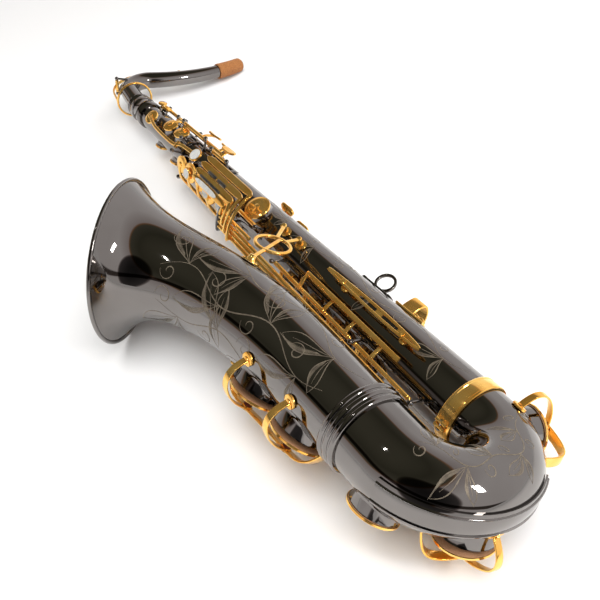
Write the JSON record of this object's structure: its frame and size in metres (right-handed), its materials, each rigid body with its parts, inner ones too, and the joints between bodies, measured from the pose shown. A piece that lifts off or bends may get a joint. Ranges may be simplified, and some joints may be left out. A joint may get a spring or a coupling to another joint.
{
  "type": "tenor saxophone",
  "caption": "Tenor saxophone with a black nickel body, swivelling neck and gold-lacquered keys, levers and guards that each turn on their own hinge.",
  "frame": {"origin": "middle of the whole instrument's bounding box", "axes": "+Y runs up the body tube from bow to neck, +Z is the player's left, -X is the front where the bell is, +X is the player's side with the thumb hook"},
  "size_m": [0.398, 0.8066, 0.1562],
  "materials": {
    "black_nickel": "mirror-polished black nickel plate with engraving",
    "black_roller": "smooth black plastic",
    "cork": "natural cork",
    "gold_lacquer": "clear gold lacquer over polished brass"
  },
  "bodies": {
    "body": {"bell": "black_nickel", "bell_bow_ferrule": "black_nickel", "bell_brace": "gold_lacquer", "bell_key_guard": "gold_lacquer", "bell_key_rib": "black_nickel", "body_bow_ferrule": "gold_lacquer", "body_tube": "black_nickel", "bow": "black_nickel", "bow_guard": "black_nickel", "bow_key_rib": "black_nickel", "long_rod_rib": "black_nickel", "low_c_guard": "gold_lacquer", "low_eb_guard": "gold_lacquer", "lower_stack_rib": "black_nickel", "lower_stack_rod_1": "gold_lacquer", "lower_stack_rod_2": "gold_lacquer", "neck_receiver": "black_nickel", "octave_rib": "black_nickel", "palm_key_rib": "black_nickel", "side_guard": "gold_lacquer", "side_key_rib": "black_nickel", "strap_ring": "black_nickel", "table_rib": "black_nickel", "thumb_rest": "black_roller", "upper_stack_rib": "black_nickel", "upper_stack_rod": "gold_lacquer"},
    "a_key": {"a_key": "gold_lacquer"},
    "aux_c_key": {"aux_c_key": "gold_lacquer"},
    "b_key": {"b_key": "gold_lacquer"},
    "bis_key": {"bis_key": "gold_lacquer"},
    "body_octave_key": {"body_octave_key": "gold_lacquer"},
    "d_key": {"d_key": "gold_lacquer"},
    "e_key": {"e_key": "gold_lacquer"},
    "f_key": {"f_key": "gold_lacquer"},
    "front_f_key": {"front_f_key": "gold_lacquer"},
    "fs_key": {"fs_key": "gold_lacquer"},
    "g_key": {"g_key": "gold_lacquer"},
    "gs_key": {"gs_key": "gold_lacquer"},
    "gs_touch": {"gs_touch": "gold_lacquer"},
    "high_e_key": {"high_e_key": "gold_lacquer"},
    "high_fs_key": {"high_fs_key": "gold_lacquer"},
    "low_b_key": {"low_b_key": "gold_lacquer"},
    "low_b_touch": {"low_b_touch": "gold_lacquer"},
    "low_bb_key": {"low_bb_key": "gold_lacquer"},
    "low_bb_touch": {"low_bb_touch": "gold_lacquer"},
    "low_c_key": {"low_c_key": "gold_lacquer"},
    "low_cs_key": {"low_cs_key": "gold_lacquer"},
    "low_cs_touch": {"low_cs_touch": "gold_lacquer"},
    "low_eb_key": {"low_eb_key": "gold_lacquer"},
    "neck": {"neck": "black_nickel", "neck_cork": "cork"},
    "neck_octave_key": {"neck_octave_key": "gold_lacquer"},
    "neck_screw": {"neck_screw": "gold_lacquer"},
    "octave_lever": {"octave_lever": "gold_lacquer"},
    "palm_d_key": {"palm_d_key": "gold_lacquer"},
    "palm_eb_key": {"palm_eb_key": "gold_lacquer"},
    "palm_f_lever": {"palm_f_lever": "gold_lacquer"},
    "side_bb_key": {"side_bb_key": "gold_lacquer"},
    "side_c_key": {"side_c_key": "gold_lacquer"},
    "thumb_hook": {"thumb_hook": "gold_lacquer"}
  },
  "joints": [
    {"name": "d_key_press", "type": "hinge", "parent": "body", "child": "d_key", "pos_m": [-0.01999, -0.22751, 0.02068], "axis": [0.0284, 0.9996, -0.0025], "range_deg": [-9, 0]},
    {"name": "e_key_press", "type": "hinge", "parent": "body", "child": "e_key", "pos_m": [-0.01815, -0.16291, 0.02052], "axis": [0.0284, 0.9996, -0.0025], "range_deg": [-9, 0]},
    {"name": "f_key_press", "type": "hinge", "parent": "body", "child": "f_key", "pos_m": [-0.01705, -0.12401, 0.02043], "axis": [0.0284, 0.9996, -0.0025], "range_deg": [-9, 0]},
    {"name": "f_sharp_key_close", "type": "hinge", "parent": "body", "child": "fs_key", "pos_m": [-0.0158, -0.08011, 0.02032], "axis": [0.0284, 0.9996, -0.0025], "range_deg": [-9, 0]},
    {"name": "g_key_press", "type": "hinge", "parent": "body", "child": "g_key", "pos_m": [0.00376, 0.06009, -0.00703], "axis": [0.0176, 0.9996, 0.0225], "range_deg": [0, 9]},
    {"name": "a_key_press", "type": "hinge", "parent": "body", "child": "a_key", "pos_m": [0.00425, 0.08799, -0.00641], "axis": [0.0176, 0.9996, 0.0225], "range_deg": [0, 9]},
    {"name": "bis_key_close", "type": "hinge", "parent": "body", "child": "bis_key", "pos_m": [0.00466, 0.11149, -0.00588], "axis": [0.0176, 0.9996, 0.0225], "range_deg": [0, 9]},
    {"name": "b_key_press", "type": "hinge", "parent": "body", "child": "b_key", "pos_m": [0.00507, 0.13449, -0.00536], "axis": [0.0176, 0.9996, 0.0225], "range_deg": [0, 9]},
    {"name": "c_key_close", "type": "hinge", "parent": "body", "child": "aux_c_key", "pos_m": [0.0055, 0.15914, -0.00481], "axis": [0.0176, 0.9996, 0.0225], "range_deg": [0, 9]},
    {"name": "side_bb_key_open", "type": "hinge", "parent": "body", "child": "side_bb_key", "pos_m": [0.04009, 0.00899, -0.00724], "axis": [-0.0168, 0.9996, 0.0231], "range_deg": [-10, 0]},
    {"name": "side_c_key_open", "type": "hinge", "parent": "body", "child": "side_c_key", "pos_m": [0.04363, 0.04549, -0.00273], "axis": [-0.0209, 0.9996, 0.0194], "range_deg": [-10, 0]},
    {"name": "high_e_key_open", "type": "hinge", "parent": "body", "child": "high_e_key", "pos_m": [0.04562, 0.10249, 0.00253], "axis": [-0.0242, 0.9996, 0.0151], "range_deg": [-10, 0]},
    {"name": "high_fs_key_open", "type": "hinge", "parent": "body", "child": "high_fs_key", "pos_m": [0.047, 0.13799, 0.00756], "axis": [-0.0266, 0.9996, 0.0102], "range_deg": [-10, 0]},
    {"name": "palm_d_open", "type": "hinge", "parent": "body", "child": "palm_d_key", "pos_m": [0.0215, 0.18249, 0.04591], "axis": [0.001, 0.9996, -0.0285], "range_deg": [0, 10]},
    {"name": "palm_eb_open", "type": "hinge", "parent": "body", "child": "palm_eb_key", "pos_m": [0.02751, 0.17949, 0.04049], "axis": [-0.0059, 0.9996, -0.0279], "range_deg": [0, 10]},
    {"name": "palm_f_press", "type": "hinge", "parent": "body", "child": "palm_f_lever", "pos_m": [0.01504, 0.11449, 0.04695], "axis": [0.0069, 0.9996, -0.0277], "range_deg": [0, 8]},
    {"name": "front_f_rock", "type": "hinge", "parent": "body", "child": "front_f_key", "pos_m": [-0.00247, 0.17649, 0.03382], "axis": [-0.5592, 0, -0.829], "range_deg": [-2.8, 0]},
    {"name": "body_octave_open", "type": "hinge", "parent": "body", "child": "body_octave_key", "pos_m": [0.04177, 0.26149, 0.029], "axis": [-0.0242, 0.9996, -0.0151], "range_deg": [0, 10]},
    {"name": "octave_lever_press", "type": "hinge", "parent": "body", "child": "octave_lever", "pos_m": [0.04457, 0.18199, 0.02869], "axis": [-0.0252, 0.9996, -0.0134], "range_deg": [0, 8]},
    {"name": "g_sharp_key_open", "type": "hinge", "parent": "body", "child": "gs_key", "pos_m": [-0.00575, 0.01649, 0.02896], "axis": [0.0262, 0.9996, -0.0111], "range_deg": [-10, 0]},
    {"name": "g_sharp_touch_press", "type": "hinge", "parent": "body", "child": "gs_touch", "pos_m": [-0.02339, 0.00849, 0.02672], "axis": [0.0279, 0.9996, -0.0059], "range_deg": [0, 8]},
    {"name": "low_c_sharp_touch_press", "type": "hinge", "parent": "body", "child": "low_cs_touch", "pos_m": [-0.02753, -0.10751, 0.02134], "axis": [0.0284, 0.9996, -0.0025], "range_deg": [0, 3.5]},
    {"name": "low_b_flat_touch_press", "type": "hinge", "parent": "body", "child": "low_bb_touch", "pos_m": [-0.027, -0.08301, 0.01524], "axis": [0.0285, 0.9996, 0.001], "range_deg": [0, 3.5]},
    {"name": "low_b_touch_press", "type": "hinge", "parent": "body", "child": "low_b_touch", "pos_m": [-0.02592, -0.06551, 0.00929], "axis": [0.0282, 0.9996, 0.0045], "range_deg": [0, 3.5]},
    {"name": "low_b_key_close", "type": "hinge", "parent": "body", "child": "low_b_key", "pos_m": [-0.0367, -0.22916, -0.00617], "axis": [0.0158, 0.9997, -0.0167], "range_deg": [0, 5]},
    {"name": "low_b_flat_key_close", "type": "hinge", "parent": "body", "child": "low_bb_key", "pos_m": [-0.03716, -0.16736, -0.00757], "axis": [-0.0356, 0.9989, -0.0298], "range_deg": [0, 5]},
    {"name": "low_c_sharp_key_open", "type": "hinge", "parent": "body", "child": "low_cs_key", "pos_m": [-0.05039, -0.25072, -0.02035], "axis": [0.0145, 0.9996, -0.0243], "range_deg": [-7, 0]},
    {"name": "low_c_key_press", "type": "hinge", "parent": "body", "child": "low_c_key", "pos_m": [0.01534, -0.24951, -0.0237], "axis": [0.005, 0.9996, 0.0281], "range_deg": [0, 5]},
    {"name": "low_e_flat_key_open", "type": "hinge", "parent": "body", "child": "low_eb_key", "pos_m": [0.03809, -0.24951, -0.01801], "axis": [-0.0116, 0.9996, 0.026], "range_deg": [0, 8]},
    {"name": "neck_screw_turn", "type": "hinge", "parent": "body", "child": "neck_screw", "pos_m": [0.04401, 0.30249, 0.02747], "axis": [0, 0, 1], "range_deg": [0, 180]},
    {"name": "neck_swivel", "type": "hinge", "parent": "body", "child": "neck", "pos_m": [0.02251, 0.31449, 0.01697], "axis": [0, 1, 0], "range_deg": [-60, 0]},
    {"name": "neck_octave_open", "type": "hinge", "parent": "neck", "child": "neck_octave_key", "pos_m": [0.02132, 0.38755, 0.01673], "axis": [0.1908, 0, -0.9816], "range_deg": [-2.5, 0]},
    {"name": "thumb_hook_slide", "type": "slide", "parent": "body", "child": "thumb_hook", "axis": [0, 1, 0], "range_m": [-0.003, 0.003]}
  ],
  "couplings": [
    {"joint": "f_sharp_key_close", "follows": "f_key_press", "ratio": 1},
    {"joint": "bis_key_close", "follows": "a_key_press", "ratio": 1},
    {"joint": "c_key_close", "follows": "b_key_press", "ratio": 1},
    {"joint": "g_sharp_key_open", "follows": "g_sharp_touch_press", "ratio": -1.25},
    {"joint": "low_c_sharp_key_open", "follows": "low_c_sharp_touch_press", "ratio": -2},
    {"joint": "low_b_flat_key_close", "follows": "low_b_flat_touch_press", "ratio": 1.4286},
    {"joint": "low_b_key_close", "follows": "low_b_touch_press", "ratio": 1.4286},
    {"joint": "front_f_rock", "follows": "palm_f_press", "ratio": -0.35},
    {"joint": "neck_octave_open", "follows": "octave_lever_press", "ratio": -0.3125}
  ]
}
